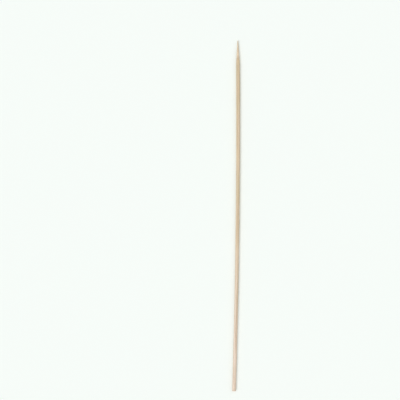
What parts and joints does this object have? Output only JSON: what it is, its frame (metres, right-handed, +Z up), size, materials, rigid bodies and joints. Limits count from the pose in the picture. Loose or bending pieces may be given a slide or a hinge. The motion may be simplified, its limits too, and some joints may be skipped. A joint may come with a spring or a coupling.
{
  "type": "wooden skewer",
  "caption": "Slim round bamboo skewer with a ground point at one end and a square-cut butt at the other, slightly bowed, lying on its side.",
  "frame": {"origin": "middle of the underside of the skewer's box, on the surface that it lies on", "axes": "+Y along the skewer towards its point, +X towards the outside of its slight bow, +Z up"},
  "size_m": [0.0046, 0.305, 0.0032],
  "materials": {
    "bamboo": "dry sanded bamboo, unvarnished, with fine lengthwise fibres"
  },
  "bodies": {
    "root": {"skewer": "bamboo"}
  },
  "joints": []
}
